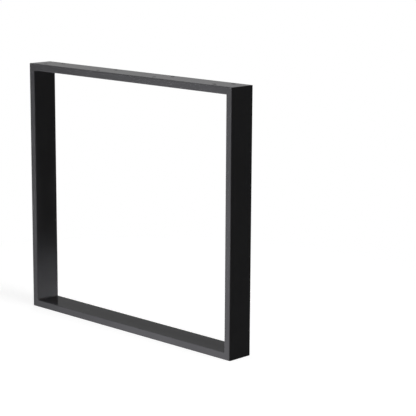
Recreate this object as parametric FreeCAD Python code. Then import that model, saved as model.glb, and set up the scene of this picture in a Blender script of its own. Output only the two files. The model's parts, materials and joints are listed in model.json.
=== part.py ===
import FreeCAD, Part
import math
import os

# Table leg: a closed frame of flat rectangular steel tube, mitred and welded.
# X runs along the rails, Y from front to back and Z up. The origin is on the
# floor, under the middle of the bottom rail.

# Frame, measured over its outer faces
frame_width = 800.0
frame_height = 720.0

# Rectangular tube
tube_depth = 80.0
tube_thickness = 20.0
tube_wall = 2.0
tube_corner_radius = 3.0
least_bore_radius = 0.2

# Outer corners of the frame, where the weld is ground flush
ground_radius = 0.8

# Weld bead in each inner corner: its two legs, its rise over the flat between
# them, and the run-out at each end with the share of the bead left there
weld_leg = 3.0
weld_crown = 0.4
weld_run_out = 3.0
weld_end_share = 0.4

# Screw holes through both walls of the top rail, in two staggered rows. Each
# row starts near one end of the rail and stops further from the other end.
hole_diameter = 11.0
hole_edge_break = 0.3
holes_per_row = 4
row_spacing = 40.0
near_end_distance = 50.0
far_end_distance = 80.0

half_mitre = math.radians(45)
origin = FreeCAD.Vector(0, 0, 0)
x_axis = FreeCAD.Vector(1, 0, 0)
y_axis = FreeCAD.Vector(0, 1, 0)
z_axis = FreeCAD.Vector(0, 0, 1)


def on_circle(centre, radius, angle, across, up):
    return centre + across * (radius * math.cos(angle)) + up * (radius * math.sin(angle))


def arc(centre, radius, start, end, across, up):
    points = [on_circle(centre, radius, a, across, up) for a in (start, (start + end) / 2, end)]
    return Part.Arc(*points).toShape()


def closed_face(edges):
    # Face inside the edges, with a straight line over each gap between them
    outline = []
    for edge, following in zip(edges, edges[1:] + edges[:1]):
        outline.append(edge)
        gap_start = edge.Vertexes[-1].Point
        gap_end = following.Vertexes[0].Point
        if gap_start.distanceToPoint(gap_end) > edge.Tolerance:
            outline.append(Part.makeLine(gap_start, gap_end))
    return Part.Face(Part.Wire(outline))


def rounded_bar(length, depth, thickness, radius):
    # Bar along X, centred on the origin
    half_depth = depth / 2 - radius
    half_thickness = thickness / 2 - radius
    corners = []
    for quarter, (side, level) in enumerate([(1, 1), (-1, 1), (-1, -1), (1, -1)]):
        centre = FreeCAD.Vector(-length / 2, side * half_depth, level * half_thickness)
        start = quarter * math.pi / 2
        corners.append(arc(centre, radius, start, start + math.pi / 2, y_axis, z_axis))
    return closed_face(corners).extrude(x_axis * length)


def mitre_block(length):
    # Trapezium across the whole depth: full length on the outer side, at +Z,
    # shorter by one tube at each end on the inner side
    centre_x = length / 2 - ground_radius
    centre_z = tube_thickness / 2 - ground_radius
    right = arc(
        FreeCAD.Vector(centre_x, -tube_depth / 2, centre_z),
        ground_radius, half_mitre, math.pi / 2, x_axis, z_axis,
    )
    left = arc(
        FreeCAD.Vector(-centre_x, -tube_depth / 2, centre_z),
        ground_radius, math.pi / 2, math.pi - half_mitre, x_axis, z_axis,
    )
    inner = Part.makeLine(
        FreeCAD.Vector(tube_thickness - length / 2, -tube_depth / 2, -tube_thickness / 2),
        FreeCAD.Vector(length / 2 - tube_thickness, -tube_depth / 2, -tube_thickness / 2),
    )
    return closed_face([right, left, inner]).extrude(y_axis * tube_depth)


def mitred_tube(length):
    # Length of tube along X with its outer side up and both ends cut at 45 degrees
    bore_radius = max(tube_corner_radius - tube_wall, least_bore_radius)
    bore_depth = tube_depth - 2 * tube_wall
    bore_thickness = tube_thickness - 2 * tube_wall
    outer = rounded_bar(length, tube_depth, tube_thickness, tube_corner_radius)
    bore = rounded_bar(length, bore_depth, bore_thickness, bore_radius)
    return outer.cut(bore).common(mitre_block(length)).removeSplitter()


def hole_tool():
    # Drill for both walls, flared to break the edge where it enters and leaves
    radius = hole_diameter / 2
    flare = radius + 2 * hole_edge_break
    bottom = frame_height - tube_thickness
    profile = [
        (0, bottom - hole_edge_break),
        (flare, bottom - hole_edge_break),
        (radius, bottom + hole_edge_break),
        (radius, frame_height - hole_edge_break),
        (flare, frame_height + hole_edge_break),
        (0, frame_height + hole_edge_break),
    ]
    corners = [FreeCAD.Vector(x, 0, z) for x, z in profile]
    outline = Part.makePolygon(corners + corners[:1])
    return Part.Face(outline).revolve(origin, z_axis, 360)


def hole_centres():
    pitch = (frame_width - near_end_distance - far_end_distance) / (holes_per_row - 1)
    centres = []
    for side in (-1, 1):
        first = side * (frame_width / 2 - near_end_distance)
        for step in range(holes_per_row):
            centres.append((first - side * step * pitch, side * row_spacing / 2))
    return centres


def drilled(rail):
    tool = hole_tool()
    tools = [tool.translated(FreeCAD.Vector(x, y, 0)) for x, y in hole_centres()]
    return rail.cut(Part.makeCompound(tools))


def bead_section(share, y):
    # Triangle with a crowned face, its square corner in the joint and its legs
    # towards -X and -Z
    corner = FreeCAD.Vector(0, y, 0)
    leg = weld_leg * share
    on_rail = corner - x_axis * leg
    on_upright = corner - z_axis * leg
    outward = FreeCAD.Vector(-1, 0, -1).normalize()
    top = (on_rail + on_upright) * 0.5 + outward * (weld_crown * share)
    face = Part.Arc(on_rail, top, on_upright).toShape()
    return Part.Wire([face, Part.makeLine(on_upright, corner), Part.makeLine(corner, on_rail)])


def weld_bead():
    # Bead across the flat of the tube, between its rounded edges
    end = tube_depth / 2 - tube_corner_radius
    stations = [
        (weld_end_share, -end),
        (1, weld_run_out - end),
        (1, end - weld_run_out),
        (weld_end_share, end),
    ]
    sections = [bead_section(share, y) for share, y in stations]
    return Part.makeLoft(sections, True, True).removeSplitter()


def placed(shape, turn, x, z):
    moved = shape.copy()
    moved.rotate(origin, y_axis, turn)
    moved.translate(FreeCAD.Vector(x, 0, z))
    return moved


def build_tubes():
    side_x = (frame_width - tube_thickness) / 2
    low_z = tube_thickness / 2
    rail = mitred_tube(frame_width)
    upright = mitred_tube(frame_height)
    return {
        "top_rail": drilled(placed(rail, 0, 0, frame_height - low_z)),
        "right_upright": placed(upright, 90, side_x, frame_height / 2),
        "bottom_rail": placed(rail, 180, 0, low_z),
        "left_upright": placed(upright, 270, -side_x, frame_height / 2),
    }


def build_welds():
    corner_x = frame_width / 2 - tube_thickness
    low_z = tube_thickness
    high_z = frame_height - tube_thickness
    bead = weld_bead()
    return {
        "weld_top_right": placed(bead, 0, corner_x, high_z),
        "weld_bottom_right": placed(bead, 90, corner_x, low_z),
        "weld_bottom_left": placed(bead, 180, -corner_x, low_z),
        "weld_top_left": placed(bead, 270, -corner_x, high_z),
    }


def main():
    os.makedirs("parts", exist_ok=True)
    pieces = {**build_tubes(), **build_welds()}
    for name, shape in pieces.items():
        shape.exportStep(f"parts/{name}.step")
        print(name, len(shape.Solids), "solid", round(shape.Volume), "mm3")


main()
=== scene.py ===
import bpy
import json
import math
from mathutils import Matrix, Vector


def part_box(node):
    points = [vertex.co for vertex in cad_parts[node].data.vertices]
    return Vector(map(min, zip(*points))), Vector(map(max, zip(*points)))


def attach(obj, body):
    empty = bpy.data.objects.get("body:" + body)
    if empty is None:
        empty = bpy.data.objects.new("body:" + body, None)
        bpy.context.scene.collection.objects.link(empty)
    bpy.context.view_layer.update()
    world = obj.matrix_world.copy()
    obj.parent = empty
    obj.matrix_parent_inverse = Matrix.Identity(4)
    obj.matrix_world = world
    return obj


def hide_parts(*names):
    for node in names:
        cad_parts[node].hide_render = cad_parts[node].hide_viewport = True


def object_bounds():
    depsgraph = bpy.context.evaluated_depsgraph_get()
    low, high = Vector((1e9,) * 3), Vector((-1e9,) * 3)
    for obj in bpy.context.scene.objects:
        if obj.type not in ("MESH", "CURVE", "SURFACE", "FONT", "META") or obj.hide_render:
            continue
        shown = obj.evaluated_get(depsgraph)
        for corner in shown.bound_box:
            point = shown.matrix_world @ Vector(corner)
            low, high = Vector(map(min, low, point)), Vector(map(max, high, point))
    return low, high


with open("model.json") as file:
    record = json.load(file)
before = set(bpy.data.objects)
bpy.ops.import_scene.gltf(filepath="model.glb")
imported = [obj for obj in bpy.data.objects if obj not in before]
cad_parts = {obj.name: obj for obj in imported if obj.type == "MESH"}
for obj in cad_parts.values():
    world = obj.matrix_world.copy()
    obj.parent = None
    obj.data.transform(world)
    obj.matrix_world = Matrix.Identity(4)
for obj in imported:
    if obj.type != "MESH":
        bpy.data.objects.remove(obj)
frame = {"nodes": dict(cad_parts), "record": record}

# Table leg frame of flat steel tube, mitred, welded and powder coated black.
# Metres, in the frame of the loaded model: X along the rails, Z up from the floor.

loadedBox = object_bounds()
print("frame loaded:", len(frame["nodes"]), "nodes")


# Small helpers for node trees

def put(tree, kind, inputs=None, **settings):
    made = tree.nodes.new(kind)
    for name, value in settings.items():
        setattr(made, name, value)
    for slot, value in (inputs or {}).items():
        if isinstance(value, bpy.types.NodeSocket):
            tree.links.new(value, made.inputs[slot])
        else:
            made.inputs[slot].default_value = value
    return made


def calc(tree, operation, first, second=0.0, third=0.0):
    return put(tree, "ShaderNodeMath", {0: first, 1: second, 2: third}, operation=operation).outputs[0]


def plus(tree, *terms):
    total = terms[0]
    for term in terms[1:]:
        total = calc(tree, "ADD", total, term)
    return total


def times(tree, *factors):
    product = factors[0]
    for factor in factors[1:]:
        product = calc(tree, "MULTIPLY", product, factor)
    return product


def newShapeTree(name, sizes, takesMesh=False):
    # A geometry tree with one named input for each size
    tree = bpy.data.node_groups.new(name, "GeometryNodeTree")
    tree.interface.new_socket("Geometry", in_out="OUTPUT", socket_type="NodeSocketGeometry")
    if takesMesh:
        tree.interface.new_socket("Geometry", in_out="INPUT", socket_type="NodeSocketGeometry")
    for label, value in sizes.items():
        kind = "NodeSocketInt" if isinstance(value, int) else "NodeSocketFloat"
        tree.interface.new_socket(label, in_out="INPUT", socket_type=kind).default_value = value
    return tree, tree.nodes.new("NodeGroupInput").outputs, tree.nodes.new("NodeGroupOutput").inputs


def addShapeModifier(piece, tree, sizes):
    # The inputs are set by their identifiers, before the piece is first evaluated
    modifier = piece.modifiers.new(tree.name, "NODES")
    modifier.node_group = tree
    for item in tree.interface.items_tree:
        if item.in_out == "INPUT" and item.name in sizes:
            modifier[item.identifier] = sizes[item.name]


def ruledSkin(tree, section, rings):
    # A closed skin of so many rings, each with the section's points. Gives the
    # skin, the ring's number, and the point's number and place in the section.
    spine = put(tree, "GeometryNodeCurvePrimitiveLine", {"End": (0, 0, 1)})
    spine = put(tree, "GeometryNodeResampleCurve", {"Curve": spine.outputs[0], "Count": rings})
    ring = put(tree, "GeometryNodeCaptureAttribute", {"Geometry": spine.outputs[0]})
    ring.capture_items.new("FLOAT", "ring")
    tree.links.new(put(tree, "GeometryNodeInputIndex").outputs[0], ring.inputs[1])
    point = put(tree, "GeometryNodeCaptureAttribute", {"Geometry": section})
    point.capture_items.new("FLOAT", "point")
    point.capture_items.new("VECTOR", "place")
    tree.links.new(put(tree, "GeometryNodeInputIndex").outputs[0], point.inputs[1])
    tree.links.new(put(tree, "GeometryNodeInputPosition").outputs[0], point.inputs[2])
    skin = put(tree, "GeometryNodeCurveToMesh", {
        "Curve": ring.outputs[0], "Profile Curve": point.outputs[0], "Fill Caps": True})
    return skin.outputs[0], ring.outputs[1], point.outputs[1], point.outputs[2]


def setPlaces(tree, skin, x, y, z):
    place = put(tree, "ShaderNodeCombineXYZ", {0: x, 1: y, 2: z})
    moved = put(tree, "GeometryNodeSetPosition", {"Geometry": skin, "Position": place.outputs[0]})
    return moved.outputs[0]


def turnAndPlace(tree, mesh, size):
    turn = put(tree, "ShaderNodeCombineXYZ", {1: size["Turn"]})
    place = put(tree, "ShaderNodeCombineXYZ", {0: size["Place X"], 2: size["Place Z"]})
    moved = put(tree, "GeometryNodeTransform", {
        "Geometry": mesh, "Translation": place.outputs[0], "Rotation": turn.outputs[0]})
    return moved.outputs[0]


def finishMesh(tree, mesh, material, sharpFrom):
    # Smooth shading, with sharp edges from so many degrees on, and the material
    angle = put(tree, "GeometryNodeInputMeshEdgeAngle").outputs[0]
    sharp = put(tree, "FunctionNodeCompare", {0: angle, 1: math.radians(sharpFrom)})
    smooth = put(tree, "GeometryNodeSetShadeSmooth", {"Geometry": mesh, "Shade Smooth": True})
    edged = put(
        tree, "GeometryNodeSetShadeSmooth",
        {"Geometry": smooth.outputs[0], "Selection": sharp.outputs[0], "Shade Smooth": False},
        domain="EDGE")
    real = put(tree, "GeometryNodeRealizeInstances", {"Geometry": edged.outputs[0]})
    coated = put(tree, "GeometryNodeSetMaterial", {"Geometry": real.outputs[0], "Material": material})
    return coated.outputs[0]


def cutAway(tree, mesh, cutters):
    cut = put(tree, "GeometryNodeMeshBoolean", {0: mesh}, operation="DIFFERENCE", solver="EXACT")
    for cutter in cutters:
        tree.links.new(cutter, cut.inputs[1])
    return cut.outputs[0]


def bakePiece(piece):
    # The modifiers' result becomes the piece's own plain mesh
    weighted = piece.modifiers.new("weighted", "WEIGHTED_NORMAL")
    weighted.keep_sharp = True
    evaluated = piece.evaluated_get(bpy.context.evaluated_depsgraph_get())
    mesh = bpy.data.meshes.new_from_object(evaluated)
    piece.modifiers.clear()
    piece.data = mesh
    mesh.name = piece.name


def newPiece(name):
    piece = bpy.data.objects.new(name, bpy.data.meshes.new(name))
    bpy.context.scene.collection.objects.link(piece)
    return piece


# Powder coat

coatLook = {
    "colour": (0.0545, 0.054, 0.0575),
    "colourDrift": 0.06,        # share by which the colour drifts over the frame
    "driftScale": 9.0,          # per metre
    "driftDetail": 2.0,
    "roughness": 0.5,
    "roughnessDrift": 0.05,
    "mottleScale": 60.0,
    "mottleDetail": 4.0,
    "noiseLow": 0.3,            # between these two the noise fills the whole drift
    "noiseHigh": 0.7,
    "gloss": 0.38,              # weight of the clear, glossy skin over it
    "glossRoughness": 0.1,
    "glossIor": 1.17,
    "orangePeelScale": 420.0,   # per metre, so dimples of about 2 mm
    "orangePeelDetail": 1.0,
    "orangePeelDepth": 0.00006,
}


def noise(tree, where, scale, detail):
    made = put(tree, "ShaderNodeTexNoise", {"Vector": where, "Scale": scale, "Detail": detail})
    return made.outputs["Fac"]


def driftAround(tree, middle, drift, pattern):
    ends = {1: coatLook["noiseLow"], 2: coatLook["noiseHigh"], 3: middle - drift, 4: middle + drift}
    drifted = put(tree, "ShaderNodeMapRange", {0: pattern, **ends})
    return drifted.outputs[0]


def makePowderCoat():
    coat = bpy.data.materials.new("powderCoatBlack")
    coat.use_nodes = True
    tree = coat.node_tree
    shader = tree.nodes["Principled BSDF"]
    where = put(tree, "ShaderNodeTexCoord").outputs["Object"]

    clouds = noise(tree, where, coatLook["driftScale"], coatLook["driftDetail"])
    shade = driftAround(tree, 1.0, coatLook["colourDrift"], clouds)
    tint = put(tree, "ShaderNodeVectorMath", {0: coatLook["colour"], "Scale": shade}, operation="SCALE")
    tree.links.new(tint.outputs[0], shader.inputs["Base Color"])

    mottle = noise(tree, where, coatLook["mottleScale"], coatLook["mottleDetail"])
    rough = driftAround(tree, coatLook["roughness"], coatLook["roughnessDrift"], mottle)
    tree.links.new(rough, shader.inputs["Roughness"])

    peel = noise(tree, where, coatLook["orangePeelScale"], coatLook["orangePeelDetail"])
    depth = coatLook["orangePeelDepth"]
    bump = put(tree, "ShaderNodeBump", {"Height": peel, "Strength": 1.0, "Distance": depth})
    tree.links.new(bump.outputs[0], shader.inputs["Normal"])
    tree.links.new(bump.outputs[0], shader.inputs["Coat Normal"])

    shader.inputs["Specular IOR Level"].default_value = 0.0
    shader.inputs["Coat Weight"].default_value = coatLook["gloss"]
    shader.inputs["Coat Roughness"].default_value = coatLook["glossRoughness"]
    shader.inputs["Coat IOR"].default_value = coatLook["glossIor"]
    return coat


powderCoat = makePowderCoat()
print("powder coat made")


# Tubes. The outer sizes are the frame's own.

frameLow, frameHigh = loadedBox
frameWidth = frameHigh.x - frameLow.x
frameHeight = frameHigh.z
tubeDepth = frameHigh.y - frameLow.y
railLow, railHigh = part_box("top_rail")
tubeThickness = railHigh.z - railLow.z

tubeSizes = {
    "Length": frameWidth,
    "Depth": tubeDepth,
    "Thickness": tubeThickness,
    "Wall": 0.002,
    "Corner Radius": 0.003,
    "Bore Radius": 0.001,
    "Corner Steps": 8,
    "Bore Steps": 2,
    "Ground Radius": 0.0008,    # where the mitre's weld is ground flush
    "Ground Steps": 3,
    "Turn": 0.0,
    "Place X": 0.0,
    "Place Z": 0.0,
}
sharpAngle = 35.0               # degrees, past which an edge is shaded sharp
mitreAngle = math.radians(45)


def mitredBar(tree, size, depth, thickness, radius, steps, groundRadius, groundSteps, overrun):
    # Rounded bar along X with its outer side up. Its ends follow the mitre, and
    # the outer corner of each end is rounded in so many steps, or stays sharp
    # with none. The overrun lengthens each end past the mitre.
    section = put(tree, "GeometryNodeCurvePrimitiveQuadrilateral", {"Width": depth, "Height": thickness})
    section = put(tree, "GeometryNodeFilletCurve", {
        "Curve": section.outputs[0], "Count": steps, "Radius": radius, "Limit Radius": True}, mode="POLY")
    rings = calc(tree, "MULTIPLY_ADD", groundSteps, 2.0, 2.0)
    skin, ring, _, place = ruledSkin(tree, section.outputs[0], rings)
    place = put(tree, "ShaderNodeSeparateXYZ", {0: place}).outputs

    fromMiddle = calc(tree, "SUBTRACT", ring, calc(tree, "ADD", groundSteps, 0.5))
    side = calc(tree, "SIGN", fromMiddle)
    step = calc(tree, "SUBTRACT", calc(tree, "ABSOLUTE", fromMiddle), 0.5)
    angle = times(tree, calc(tree, "DIVIDE", step, groundSteps), mitreAngle)
    sine = calc(tree, "SINE", angle)
    cosine = calc(tree, "COSINE", angle)

    dropped = times(tree, groundRadius, calc(tree, "SUBTRACT", 1.0, cosine))
    highest = calc(tree, "SUBTRACT", times(tree, size["Thickness"], 0.5), dropped)
    level = calc(tree, "MINIMUM", place[1], highest)
    setBack = times(tree, groundRadius, calc(tree, "SUBTRACT", cosine, sine))
    middle = times(tree, calc(tree, "SUBTRACT", size["Length"], size["Thickness"]), 0.5)
    reach = plus(tree, middle, level, overrun, times(tree, setBack, -1.0))
    return setPlaces(tree, skin, times(tree, side, reach), place[0], level)


def makeTubeTree():
    tree, size, result = newShapeTree("mitredTube", tubeSizes)
    twoWalls = times(tree, size["Wall"], 2.0)
    boreDepth = calc(tree, "SUBTRACT", size["Depth"], twoWalls)
    boreThickness = calc(tree, "SUBTRACT", size["Thickness"], twoWalls)
    outside = mitredBar(
        tree, size, size["Depth"], size["Thickness"], size["Corner Radius"], size["Corner Steps"],
        groundRadius=size["Ground Radius"], groundSteps=size["Ground Steps"], overrun=0.0)
    bore = mitredBar(
        tree, size, boreDepth, boreThickness, size["Bore Radius"], size["Bore Steps"],
        groundRadius=0.0, groundSteps=0.0, overrun=size["Wall"])
    hollow = cutAway(tree, outside, [bore])
    placed = turnAndPlace(tree, hollow, size)
    tree.links.new(finishMesh(tree, placed, powderCoat, sharpAngle), result["Geometry"])
    return tree


# Screw holes through both walls of the top rail, in two staggered rows. The
# second row is the first, turned half round.

holesPerRow = 4
millimetresPerMetre = 1000
mounts = {mount["name"]: mount for mount in frame["record"]["mounts"]}
outerPair = mounts["front_row_outer"]
innerPair = mounts["front_row_inner"]
outerSpan = outerPair["dims"]["spacing_x_mm"] / millimetresPerMetre
innerSpan = innerPair["dims"]["spacing_x_mm"] / millimetresPerMetre
outerPitches = 3                # steps from hole to hole between the two of a pair
innerPitches = 1

holeSizes = {
    "Holes per Row": holesPerRow,
    "First X": outerPair["pos_m"][0] - outerSpan / 2,
    "Row Y": outerPair["pos_m"][1],
    "Pitch": (outerSpan + innerSpan) / (outerPitches + innerPitches),
    "Radius": outerPair["dims"]["hole_r_mm"] / millimetresPerMetre,
    "Edge Break": 0.0003,
    "Around": 40,
    "Top": frameHeight,
    "Thickness": tubeThickness,
}


def makeDrillTree():
    tree, size, result = newShapeTree("staggeredHoles", holeSizes, takesMesh=True)
    circle = put(tree, "GeometryNodeCurvePrimitiveCircle", {"Resolution": size["Around"], "Radius": 1.0})
    rings = 4
    skin, ring, _, place = ruledSkin(tree, circle.outputs[0], rings)
    place = put(tree, "ShaderNodeSeparateXYZ", {0: place}).outputs

    # The rings are wide, narrow, narrow and wide, so the flares cross the outer faces
    fromMiddle = calc(tree, "SUBTRACT", ring, (rings - 1) / 2)
    distance = calc(tree, "ABSOLUTE", fromMiddle)
    flare = times(tree, size["Edge Break"], 2.0)
    radius = calc(tree, "MULTIPLY_ADD", calc(tree, "SUBTRACT", distance, 0.5), flare, size["Radius"])
    half = times(tree, size["Thickness"], 0.5)
    rise = calc(tree, "MULTIPLY_ADD", calc(tree, "SUBTRACT", distance, 1.0), flare, half)
    middle = calc(tree, "SUBTRACT", size["Top"], half)
    height = calc(tree, "MULTIPLY_ADD", calc(tree, "SIGN", fromMiddle), rise, middle)
    drill = setPlaces(tree, skin, times(tree, place[0], radius), times(tree, place[1], radius), height)

    rows = []
    for way in (1.0, -1.0):
        start = put(tree, "ShaderNodeCombineXYZ", {
            0: times(tree, size["First X"], way), 1: times(tree, size["Row Y"], way)})
        step = put(tree, "ShaderNodeCombineXYZ", {0: times(tree, size["Pitch"], way)})
        row = put(tree, "GeometryNodeMeshLine", {
            "Count": size["Holes per Row"], "Start Location": start.outputs[0], "Offset": step.outputs[0]})
        drills = put(tree, "GeometryNodeInstanceOnPoints", {"Points": row.outputs[0], "Instance": drill})
        solid = put(tree, "GeometryNodeRealizeInstances", {"Geometry": drills.outputs[0]})
        rows.append(solid.outputs[0])
    drilled = cutAway(tree, size["Geometry"], rows)
    tree.links.new(finishMesh(tree, drilled, powderCoat, sharpAngle), result["Geometry"])
    return tree


tubeTree = makeTubeTree()
drillTree = makeDrillTree()
middleX = (frameWidth - tubeThickness) / 2
middleZ = tubeThickness / 2
quarterTurn = math.radians(90)

# Node, length, quarter turns about Y and place. In the tree each outer side is up.
tubePlaces = {
    "topRailTube": ("top_rail", frameWidth, 0, 0.0, frameHeight - middleZ),
    "rightUprightTube": ("right_upright", frameHeight, 1, middleX, frameHeight / 2),
    "bottomRailTube": ("bottom_rail", frameWidth, 2, 0.0, middleZ),
    "leftUprightTube": ("left_upright", frameHeight, 3, -middleX, frameHeight / 2),
}


def makeTube(name, node, length, quarters, x, z):
    tube = newPiece(name)
    sizes = {**tubeSizes, "Length": length, "Turn": quarters * quarterTurn, "Place X": x, "Place Z": z}
    addShapeModifier(tube, tubeTree, sizes)
    if node == "top_rail":
        addShapeModifier(tube, drillTree, holeSizes)
    bakePiece(tube)
    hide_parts(node)
    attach(tube, "root")


for tubeName, (nodeName, length, quarters, x, z) in tubePlaces.items():
    makeTube(tubeName, nodeName, length, quarters, x, z)
print("tubes made:", len(tubePlaces), "with", 2 * holesPerRow, "screw holes")


# Weld beads in the inner corners, rippled along the seam

beadLow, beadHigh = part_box("weld_top_right")

beadSizes = {
    "Span": beadHigh.y - beadLow.y,
    "Leg": beadHigh.x - beadLow.x,
    "Crown": 0.0004,
    "Run Out": 0.003,
    "End Share": 0.4,           # of the bead's size, left at its two ends
    "Ripple Pitch": 0.0018,
    "Ripple Depth": 0.00032,
    "Ripple Bow": 0.0011,       # how far a ripple's middle lags behind its ends
    "Rings": 300,
    "Across": 9,                # points across the face
    "Turn": 0.0,
    "Place X": 0.0,
    "Place Z": 0.0,
}


def makeBeadTree():
    # In the tree the joint's corner is at the origin, with the legs towards -X and -Z
    tree, size, result = newShapeTree("cornerBead", beadSizes)
    corners = calc(tree, "ADD", size["Across"], 1.0)
    section = put(tree, "GeometryNodeCurvePrimitiveCircle", {"Resolution": corners, "Radius": 1.0})
    skin, ring, point, _ = ruledSkin(tree, section.outputs[0], size["Rings"])

    along = calc(tree, "DIVIDE", ring, calc(tree, "SUBTRACT", size["Rings"], 1.0))
    y = times(tree, calc(tree, "SUBTRACT", along, 0.5), size["Span"])
    toEnd = calc(tree, "SUBTRACT", times(tree, size["Span"], 0.5), calc(tree, "ABSOLUTE", y))
    runIn = calc(tree, "MINIMUM", calc(tree, "DIVIDE", toEnd, size["Run Out"]), 1.0)
    endLoss = calc(tree, "SUBTRACT", 1.0, size["End Share"])
    share = calc(tree, "MULTIPLY_ADD", runIn, endLoss, size["End Share"])

    # Across the face from one leg's end, at -1, to the other's, at 1
    across = calc(tree, "DIVIDE", point, calc(tree, "SUBTRACT", size["Across"], 1.0))
    across = calc(tree, "MULTIPLY_ADD", across, 2.0, -1.0)
    swell = calc(tree, "SUBTRACT", 1.0, times(tree, across, across))
    lag = calc(tree, "MULTIPLY_ADD", swell, size["Ripple Bow"], y)
    phase = times(tree, calc(tree, "DIVIDE", lag, size["Ripple Pitch"]), math.pi)
    valley = calc(tree, "SUBTRACT", 1.0, calc(tree, "ABSOLUTE", calc(tree, "SINE", phase)))
    ripple = times(tree, valley, size["Ripple Depth"])
    alongEachLeg = math.sqrt(0.5)
    rise = times(tree, calc(tree, "SUBTRACT", size["Crown"], ripple), swell, share, alongEachLeg)

    onRail = times(tree, calc(tree, "SUBTRACT", 1.0, across), 0.5, size["Leg"], share)
    onUpright = times(tree, calc(tree, "ADD", 1.0, across), 0.5, size["Leg"], share)
    onFace = calc(tree, "LESS_THAN", point, calc(tree, "SUBTRACT", size["Across"], 0.5))
    x = times(tree, calc(tree, "ADD", onRail, rise), onFace, -1.0)
    z = times(tree, calc(tree, "ADD", onUpright, rise), onFace, -1.0)
    outward = put(tree, "GeometryNodeFlipFaces", {"Mesh": setPlaces(tree, skin, x, y, z)})
    placed = turnAndPlace(tree, outward.outputs[0], size)
    tree.links.new(finishMesh(tree, placed, powderCoat, sharpAngle), result["Geometry"])
    return tree


beadTree = makeBeadTree()
cornerX = frameWidth / 2 - tubeThickness
lowZ = tubeThickness
highZ = frameHeight - tubeThickness

# Node, quarter turns about Y and place of the joint's corner
beadPlaces = {
    "topRightBead": ("weld_top_right", 0, cornerX, highZ),
    "bottomRightBead": ("weld_bottom_right", 1, cornerX, lowZ),
    "bottomLeftBead": ("weld_bottom_left", 2, -cornerX, lowZ),
    "topLeftBead": ("weld_top_left", 3, -cornerX, highZ),
}


def makeBead(name, node, quarters, x, z):
    bead = newPiece(name)
    sizes = {**beadSizes, "Turn": quarters * quarterTurn, "Place X": x, "Place Z": z}
    addShapeModifier(bead, beadTree, sizes)
    bakePiece(bead)
    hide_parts(node)
    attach(bead, "root")


for beadName, (nodeName, quarters, x, z) in beadPlaces.items():
    makeBead(beadName, nodeName, quarters, x, z)
print("weld beads made:", len(beadPlaces))


# Studio: a pale floor and a room that the camera and the gloss see as white, a
# low softbox on each side of the frame, one overhead in line with it, and a weak
# one for the inner side of the left foot. The gloss doesn't see the softboxes.

studioLook = {
    "floorSize": 60.0,
    "floorColour": (0.3, 0.3, 0.3, 1),
    "floorGlow": 0.87,          # what the camera sees of the floor in the shadow
    "nearDistance": 0.5,        # from here the floor turns into plain white
    "farDistance": 1.2,
    "white": 1.0,
}

softboxLooks = {
    "front": {
        "place": (-0.33, -1.4, 0.09),
        "aim": (1.2, -0.8, 0.1),
        "size": (0.5, 0.16),
        "power": 62.0,
        "spread": 180.0,
    },
    "back": {
        "place": (-1.9, 2.2, 0.2),
        "aim": (0.0, 0.0, 0.3),
        "size": (1.3, 0.36),
        "power": 105.0,
        "spread": 180.0,
    },
    "overhead": {
        "place": (0.5, 0.0, 2.4),
        "aim": (0.1, 0.0, 0.0),
        "size": (0.3, 0.6),
        "power": 27.0,
        "spread": 180.0,
    },
    "foot": {
        "place": (0.9, 1.1, 0.06),
        "aim": (-0.38, 0.0, -0.03),
        "size": (0.3, 0.1),
        "power": 0.38,
        "spread": 17.0,         # degrees, as through a grid
    },
}


def rayKinds(tree):
    # 1 for camera rays, and 1 for glossy and transmission rays
    path = put(tree, "ShaderNodeLightPath").outputs
    reflected = calc(tree, "MAXIMUM", path["Is Glossy Ray"], path["Is Transmission Ray"])
    return path["Is Camera Ray"], reflected


def makeRoom():
    # White to the camera and in the gloss, with no other light from it
    room = bpy.data.worlds.new("room")
    bpy.context.scene.world = room
    room.use_nodes = True
    tree = room.node_tree
    tree.nodes.clear()
    strength = times(tree, calc(tree, "MAXIMUM", *rayKinds(tree)), studioLook["white"])
    white = put(tree, "ShaderNodeBackground", {"Color": (1, 1, 1, 1), "Strength": strength})
    put(tree, "ShaderNodeOutputWorld", {"Surface": white.outputs[0]})


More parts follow.
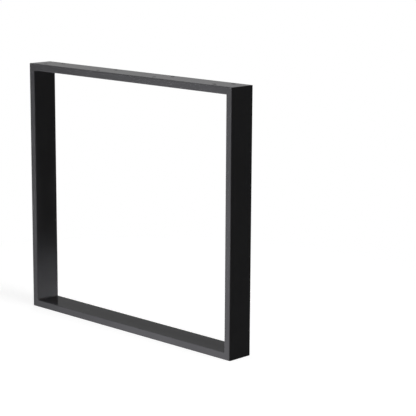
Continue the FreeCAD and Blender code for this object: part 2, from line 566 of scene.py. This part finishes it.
def makeFloor():
    half = studioLook["floorSize"] / 2
    mesh = bpy.data.meshes.new("floor")
    corners = [(-half, -half, 0), (half, -half, 0), (half, half, 0), (-half, half, 0)]
    mesh.from_pydata(corners, [], [(0, 1, 2, 3)])
    floor = bpy.data.objects.new("floor", mesh)
    bpy.context.scene.collection.objects.link(floor)

    paint = bpy.data.materials.new("paleFloor")
    paint.use_nodes = True
    tree = paint.node_tree
    tree.nodes.clear()
    where = put(tree, "ShaderNodeTexCoord").outputs["Object"]
    distance = put(tree, "ShaderNodeVectorMath", {0: where}, operation="LENGTH").outputs["Value"]
    far = put(tree, "ShaderNodeMapRange", {
        0: distance, 1: studioLook["nearDistance"], 2: studioLook["farDistance"]}).outputs[0]
    matt = put(tree, "ShaderNodeBsdfDiffuse", {"Color": studioLook["floorColour"]}).outputs[0]
    glow = put(tree, "ShaderNodeEmission", {"Strength": studioLook["floorGlow"]}).outputs[0]
    white = put(tree, "ShaderNodeEmission", {"Strength": studioLook["white"]}).outputs[0]
    near = put(tree, "ShaderNodeAddShader", {0: matt, 1: glow}).outputs[0]
    shown = put(tree, "ShaderNodeMixShader", {0: far, 1: near, 2: white}).outputs[0]
    camera, reflected = rayKinds(tree)
    other = put(tree, "ShaderNodeMixShader", {0: reflected, 1: matt, 2: white}).outputs[0]
    mixed = put(tree, "ShaderNodeMixShader", {0: camera, 1: other, 2: shown}).outputs[0]
    put(tree, "ShaderNodeOutputMaterial", {"Surface": mixed})
    mesh.materials.append(paint)


def makeSoftbox(name, look):
    light = bpy.data.lights.new(name + "Softbox", "AREA")
    light.shape = "RECTANGLE"
    light.size, light.size_y = look["size"]
    light.energy = look["power"]
    light.spread = math.radians(look["spread"])
    softbox = bpy.data.objects.new(name + "Softbox", light)
    softbox.visible_glossy = False
    bpy.context.scene.collection.objects.link(softbox)
    place = Vector(look["place"])
    aim = Vector(look["aim"])
    softbox.location = place
    softbox.rotation_euler = (aim - place).to_track_quat("-Z", "Y").to_euler()


makeRoom()
makeFloor()
for softboxName, softboxLook in softboxLooks.items():
    makeSoftbox(softboxName, softboxLook)
print("studio made:", len(softboxLooks), "softboxes")


# Camera, fitted to the photograph without a shift of the picture

cameraLook = {
    "place": (3.07145, -2.88336, 1.19092),
    "azimuth": 44.07,           # degrees, as the next two
    "elevation": 11.33,
    "roll": 0.33,
    "focalPixels": 1551.16,
    "imagePixels": 416,         # width of the photograph
    "sensorWidth": 36.0,        # millimetres
}


def makeCamera():
    data = bpy.data.cameras.new("camera")
    data.sensor_width = cameraLook["sensorWidth"]
    data.lens = cameraLook["focalPixels"] / cameraLook["imagePixels"] * cameraLook["sensorWidth"]
    camera = bpy.data.objects.new("camera", data)
    bpy.context.scene.collection.objects.link(camera)
    around = Matrix.Rotation(math.radians(cameraLook["azimuth"]), 4, "Z")
    tilt = Matrix.Rotation(math.radians(90 - cameraLook["elevation"]), 4, "X")
    roll = Matrix.Rotation(math.radians(cameraLook["roll"]), 4, "Z")
    camera.matrix_world = Matrix.Translation(cameraLook["place"]) @ around @ tilt @ roll
    bpy.context.scene.camera = camera


makeCamera()
bpy.context.scene.view_settings.view_transform = "Standard"
print("camera set")


print("scene done")
